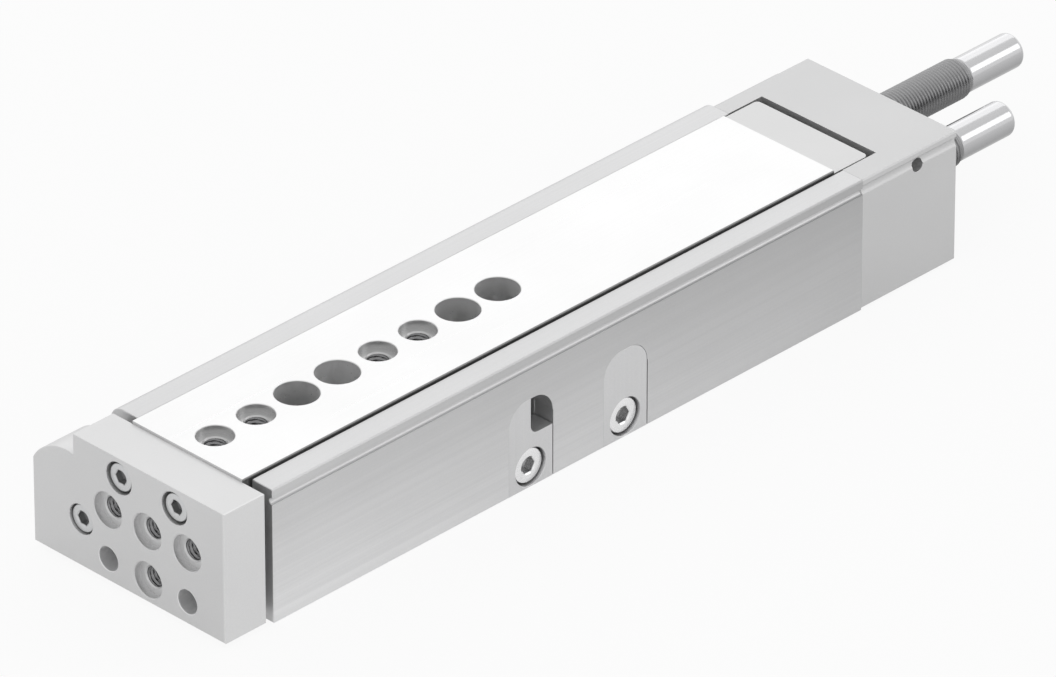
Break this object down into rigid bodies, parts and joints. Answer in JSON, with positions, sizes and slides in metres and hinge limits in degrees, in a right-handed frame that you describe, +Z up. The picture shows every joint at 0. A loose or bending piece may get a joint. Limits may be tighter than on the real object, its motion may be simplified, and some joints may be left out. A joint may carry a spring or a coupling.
{
  "type": "pneumatic slide table",
  "caption": "Compact ball-guided slide table with a side-by-side pneumatic cylinder, front yoke plate, threaded hole grid, side stop inserts and adjustable shock absorbers at the rear.",
  "frame": {"origin": "centre line of the table on the base face, halfway along the fixed body (housing and rear cap)", "axes": "+X is the way the table and the yoke plate advance, +Z is up from the base to the table face, +Y points to the side with the stop inserts, away from the cylinder"},
  "size_m": [0.2305, 0.0485, 0.028],
  "materials": {
    "anodised_housing": "clear anodised, matte, lengthwise drawn lines",
    "anodised_cap": "clear anodised, matte, milled",
    "anodised_yoke": "clear anodised, matte, milled",
    "anodised_block": "clear anodised, matte, milled",
    "turned_aluminium": "turned, satin",
    "ground_table": "ground steel, light satin",
    "guide_steel": "hardened and ground",
    "gear_steel": "hardened, satin",
    "insert_steel": "satin, milled flush with the housing",
    "stop_steel": "hardened, satin",
    "bright_screw": "bright stainless",
    "plated_screw": "zinc plated, satin",
    "absorber_thread": "rolled thread, nickel plated, slightly worn crests",
    "absorber_chrome": "polished",
    "rod_chrome": "hard chromed and polished",
    "ball_chrome": "polished bearing steel",
    "cage_brass": "stamped brass",
    "bush_bronze": "sintered bronze",
    "seal_rubber": "moulded nitrile rubber",
    "magnet_ferrite": "sintered ferrite",
    "guide_plastic": "machined acetal"
  },
  "bodies": {
    "housing": {"housing": "anodised_housing", "rear_cap": "anodised_cap", "rear_cap_screws": "plated_screw", "guide_rail_left": "guide_steel", "guide_rail_right": "guide_steel", "cage_rack_lower": "gear_steel", "rod_bearing_bush": "bush_bronze", "rod_seal": "seal_rubber", "seal_retainer": "turned_aluminium", "snap_ring": "gear_steel", "cylinder_end_plug": "turned_aluminium", "end_plug_seal": "seal_rubber", "stop_insert": "insert_steel", "stop_insert_screw": "bright_screw", "blank_insert": "insert_steel", "blank_insert_screw": "bright_screw"},
    "table": {"table": "ground_table", "yoke_plate": "anodised_yoke", "yoke_screws": "plated_screw", "rod_screw": "plated_screw", "piston_rod": "rod_chrome", "piston": "turned_aluminium", "piston_seals": "seal_rubber", "piston_guide_ring": "guide_plastic", "piston_magnet": "magnet_ferrite", "piston_nut": "plated_screw", "rear_stop_block": "anodised_block", "stop_block_screws": "plated_screw", "cage_rack_upper": "gear_steel"},
    "ball_cage": {"ball_cage": "cage_brass", "guide_balls": "ball_chrome", "pinion_axle": "gear_steel"},
    "cage_pinion": {"cage_pinion": "gear_steel"},
    "advance_absorber": {"advance_absorber_barrel": "absorber_thread", "advance_absorber_tail": "absorber_chrome", "advance_absorber_sleeve": "stop_steel"},
    "advance_plunger": {"advance_plunger": "rod_chrome"},
    "retract_absorber": {"retract_absorber_barrel": "absorber_thread", "retract_absorber_tail": "absorber_chrome", "retract_absorber_sleeve": "stop_steel"},
    "retract_plunger": {"retract_plunger": "rod_chrome"}
  },
  "joints": [
    {"name": "table_travel", "type": "slide", "parent": "housing", "child": "table", "axis": [1, 0, 0], "range_m": [0, 0.08]},
    {"name": "cage_travel", "type": "slide", "parent": "housing", "child": "ball_cage", "axis": [1, 0, 0], "range_m": [0, 0.04]},
    {"name": "pinion_spin", "type": "hinge", "parent": "ball_cage", "child": "cage_pinion", "pos_m": [0.033, -0.0066, 0.01895], "axis": [0, 1, 0], "range_deg": [0, 717]},
    {"name": "advance_absorber_adjust", "type": "slide", "parent": "table", "child": "advance_absorber", "axis": [1, 0, 0], "range_m": [-0.01, 0]},
    {"name": "advance_plunger_press", "type": "slide", "parent": "advance_absorber", "child": "advance_plunger", "axis": [1, 0, 0], "range_m": [-0.008, 0]},
    {"name": "retract_absorber_adjust", "type": "slide", "parent": "housing", "child": "retract_absorber", "axis": [1, 0, 0], "range_m": [-0.01, 0]},
    {"name": "retract_plunger_release", "type": "slide", "parent": "retract_absorber", "child": "retract_plunger", "axis": [1, 0, 0], "range_m": [0, 0.008]}
  ],
  "couplings": [
    {"joint": "cage_travel", "follows": "table_travel", "ratio": 0.5},
    {"joint": "pinion_spin", "follows": "table_travel", "rad_per_m": 156.25},
    {"joint": "advance_plunger_press", "follows": "table_travel", "ratio": -0.1},
    {"joint": "retract_plunger_release", "follows": "table_travel", "ratio": 0.1}
  ]
}
